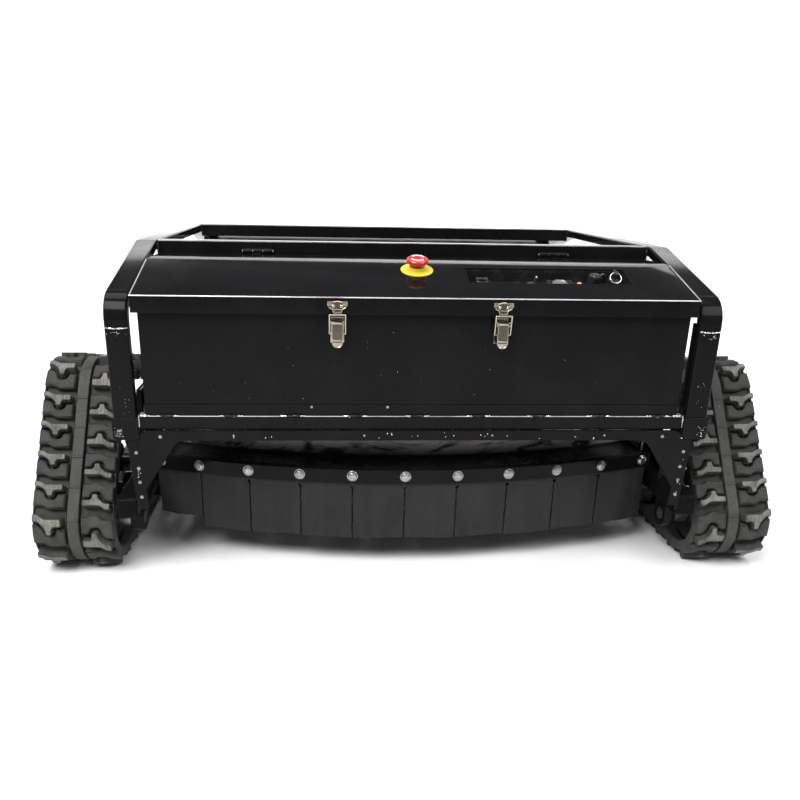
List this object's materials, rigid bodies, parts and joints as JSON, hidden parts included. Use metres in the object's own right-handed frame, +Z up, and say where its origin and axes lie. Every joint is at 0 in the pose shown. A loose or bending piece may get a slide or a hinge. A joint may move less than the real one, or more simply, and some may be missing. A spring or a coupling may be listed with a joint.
{
  "type": "tracked tank chassis",
  "caption": "Rubber-tracked chassis with a tubular frame, hinged control box, open bay and a curtained mower deck.",
  "frame": {"origin": "on the ground, at the middle of the footprint", "axes": "+Y from the control box end to the far end, +X to the right seen from the control box end, +Z up"},
  "size_m": [1.432, 1.198, 0.611],
  "materials": {
    "gloss_black_paint": "gloss",
    "deck_paint": "gloss",
    "track_rubber": "matt, dusty",
    "curtain_rubber": "matt, scuffed",
    "zinc_steel": "zinc plated",
    "nickel_plate": "nickel plated",
    "cast_wheel": "painted",
    "motor_black": "satin",
    "battery_case": "matt",
    "controller_alloy": "satin",
    "black_plastic": "satin",
    "stop_yellow": "satin",
    "stop_red": "gloss"
  },
  "bodies": {
    "chassis": {"side_tube_left": "gloss_black_paint", "side_tube_right": "gloss_black_paint", "tube_feet": "gloss_black_paint", "near_top_rail": "gloss_black_paint", "far_top_rail": "gloss_black_paint", "rear_cover": "gloss_black_paint", "front_beam": "gloss_black_paint", "rear_beam": "gloss_black_paint", "front_leg_plate": "gloss_black_paint", "rear_leg_plate": "gloss_black_paint", "floor_rails": "gloss_black_paint", "floor_plate": "gloss_black_paint", "control_box": "gloss_black_paint", "box_front_panel": "gloss_black_paint", "box_sill": "gloss_black_paint", "battery": "battery_case", "motor_controller": "controller_alloy", "latch_bases": "nickel_plate", "hinge_leaves": "gloss_black_paint", "hinge_pins": "zinc_steel", "mower_deck": "deck_paint", "deck_hangers": "gloss_black_paint", "clamp_band": "gloss_black_paint", "rubber_curtain": "curtain_rubber", "curtain_end_flap": "curtain_rubber", "band_bolts": "zinc_steel", "track_frame_left": "gloss_black_paint", "track_frame_right": "gloss_black_paint", "track_belt_left": "track_rubber", "track_belt_right": "track_rubber", "gear_motors": "motor_black", "wheel_axles": "zinc_steel", "tensioners": "gloss_black_paint"},
    "lid": {"lid": "gloss_black_paint", "instrument_tray": "black_plastic", "stop_collar": "stop_yellow", "panel_instruments": "black_plastic", "strike_plates": "nickel_plate"},
    "sprocket_left": {"sprocket_left": "cast_wheel"},
    "sprocket_right": {"sprocket_right": "cast_wheel"},
    "near_idler_left": {"near_idler_left": "cast_wheel"},
    "near_idler_right": {"near_idler_right": "cast_wheel"},
    "far_idler_left": {"far_idler_left": "cast_wheel"},
    "far_idler_right": {"far_idler_right": "cast_wheel"},
    "roller_left_1": {"roller_left_1": "cast_wheel"},
    "roller_left_2": {"roller_left_2": "cast_wheel"},
    "roller_left_3": {"roller_left_3": "cast_wheel"},
    "roller_left_4": {"roller_left_4": "cast_wheel"},
    "roller_right_1": {"roller_right_1": "cast_wheel"},
    "roller_right_2": {"roller_right_2": "cast_wheel"},
    "roller_right_3": {"roller_right_3": "cast_wheel"},
    "roller_right_4": {"roller_right_4": "cast_wheel"},
    "stop_button": {"stop_button": "stop_red"},
    "ignition_key": {"ignition_key": "nickel_plate"},
    "toggle_lever": {"toggle_lever": "nickel_plate"},
    "rocker_key": {"rocker_key": "stop_red"},
    "latch_lever_left": {"latch_lever_left": "nickel_plate"},
    "latch_lever_right": {"latch_lever_right": "nickel_plate"},
    "latch_bail_left": {"latch_bail_left": "nickel_plate"},
    "latch_bail_right": {"latch_bail_right": "nickel_plate"}
  },
  "joints": [
    {"name": "sprocket_left_spin", "type": "hinge", "parent": "chassis", "child": "sprocket_left", "pos_m": [-0.641, -0.33551, 0.284], "axis": [1, 0, 0], "continuous": true},
    {"name": "near_idler_left_spin", "type": "hinge", "parent": "chassis", "child": "near_idler_left", "pos_m": [-0.641, -0.48751, 0.092], "axis": [1, 0, 0], "continuous": true},
    {"name": "far_idler_left_spin", "type": "hinge", "parent": "chassis", "child": "far_idler_left", "pos_m": [-0.641, 0.50549, 0.092], "axis": [1, 0, 0], "continuous": true},
    {"name": "roller_left_1_spin", "type": "hinge", "parent": "chassis", "child": "roller_left_1", "pos_m": [-0.641, -0.28851, 0.074], "axis": [1, 0, 0], "continuous": true},
    {"name": "roller_left_2_spin", "type": "hinge", "parent": "chassis", "child": "roller_left_2", "pos_m": [-0.641, -0.09051, 0.074], "axis": [1, 0, 0], "continuous": true},
    {"name": "roller_left_3_spin", "type": "hinge", "parent": "chassis", "child": "roller_left_3", "pos_m": [-0.641, 0.10849, 0.074], "axis": [1, 0, 0], "continuous": true},
    {"name": "roller_left_4_spin", "type": "hinge", "parent": "chassis", "child": "roller_left_4", "pos_m": [-0.641, 0.30749, 0.074], "axis": [1, 0, 0], "continuous": true},
    {"name": "sprocket_right_spin", "type": "hinge", "parent": "chassis", "child": "sprocket_right", "pos_m": [0.641, -0.33551, 0.284], "axis": [1, 0, 0], "continuous": true},
    {"name": "near_idler_right_spin", "type": "hinge", "parent": "chassis", "child": "near_idler_right", "pos_m": [0.641, -0.48751, 0.092], "axis": [1, 0, 0], "continuous": true},
    {"name": "far_idler_right_spin", "type": "hinge", "parent": "chassis", "child": "far_idler_right", "pos_m": [0.641, 0.50549, 0.092], "axis": [1, 0, 0], "continuous": true},
    {"name": "roller_right_1_spin", "type": "hinge", "parent": "chassis", "child": "roller_right_1", "pos_m": [0.641, -0.28851, 0.074], "axis": [1, 0, 0], "continuous": true},
    {"name": "roller_right_2_spin", "type": "hinge", "parent": "chassis", "child": "roller_right_2", "pos_m": [0.641, -0.09051, 0.074], "axis": [1, 0, 0], "continuous": true},
    {"name": "roller_right_3_spin", "type": "hinge", "parent": "chassis", "child": "roller_right_3", "pos_m": [0.641, 0.10849, 0.074], "axis": [1, 0, 0], "continuous": true},
    {"name": "roller_right_4_spin", "type": "hinge", "parent": "chassis", "child": "roller_right_4", "pos_m": [0.641, 0.30749, 0.074], "axis": [1, 0, 0], "continuous": true},
    {"name": "lid_hinge", "type": "hinge", "parent": "chassis", "child": "lid", "pos_m": [0, -0.31351, 0.592], "axis": [-1, 0, 0], "range_deg": [0, 75]},
    {"name": "stop_button_press", "type": "slide", "parent": "lid", "child": "stop_button", "axis": [0, 0.2879, -0.9577], "range_m": [0, 0.0045]},
    {"name": "key_turn", "type": "hinge", "parent": "lid", "child": "ignition_key", "pos_m": [0.371, -0.4812, 0.56252], "axis": [0, -0.2879, 0.9577], "range_deg": [0, 90]},
    {"name": "toggle_flip", "type": "hinge", "parent": "lid", "child": "toggle_lever", "pos_m": [0.215, -0.48599, 0.55064], "axis": [0, -0.9577, -0.2879], "range_deg": [0, 48]},
    {"name": "rocker_tilt", "type": "hinge", "parent": "lid", "child": "rocker_key", "pos_m": [0.134, -0.50217, 0.54891], "axis": [-1, 0, 0], "range_deg": [0, 16]},
    {"name": "latch_left_lift", "type": "hinge", "parent": "chassis", "child": "latch_lever_left", "pos_m": [-0.144, -0.59351, 0.498], "axis": [-1, 0, 0], "range_deg": [0, 150]},
    {"name": "bail_left_swing", "type": "hinge", "parent": "latch_lever_left", "child": "latch_bail_left", "pos_m": [-0.144, -0.59251, 0.48], "axis": [1, 0, 0], "range_deg": [0, 187.5]},
    {"name": "latch_right_lift", "type": "hinge", "parent": "chassis", "child": "latch_lever_right", "pos_m": [0.144, -0.59351, 0.498], "axis": [-1, 0, 0], "range_deg": [0, 150]},
    {"name": "bail_right_swing", "type": "hinge", "parent": "latch_lever_right", "child": "latch_bail_right", "pos_m": [0.144, -0.59251, 0.48], "axis": [1, 0, 0], "range_deg": [0, 187.5]}
  ],
  "couplings": [
    {"joint": "near_idler_left_spin", "follows": "sprocket_left_spin", "ratio": 1.1845},
    {"joint": "far_idler_left_spin", "follows": "sprocket_left_spin", "ratio": 1.1845},
    {"joint": "roller_left_1_spin", "follows": "sprocket_left_spin", "ratio": 2.0105},
    {"joint": "roller_left_2_spin", "follows": "sprocket_left_spin", "ratio": 2.0105},
    {"joint": "roller_left_3_spin", "follows": "sprocket_left_spin", "ratio": 2.0105},
    {"joint": "roller_left_4_spin", "follows": "sprocket_left_spin", "ratio": 2.0105},
    {"joint": "near_idler_right_spin", "follows": "sprocket_right_spin", "ratio": 1.1845},
    {"joint": "far_idler_right_spin", "follows": "sprocket_right_spin", "ratio": 1.1845},
    {"joint": "roller_right_1_spin", "follows": "sprocket_right_spin", "ratio": 2.0105},
    {"joint": "roller_right_2_spin", "follows": "sprocket_right_spin", "ratio": 2.0105},
    {"joint": "roller_right_3_spin", "follows": "sprocket_right_spin", "ratio": 2.0105},
    {"joint": "roller_right_4_spin", "follows": "sprocket_right_spin", "ratio": 2.0105},
    {"joint": "bail_left_swing", "follows": "latch_left_lift", "ratio": 1.25},
    {"joint": "bail_right_swing", "follows": "latch_right_lift", "ratio": 1.25}
  ]
}
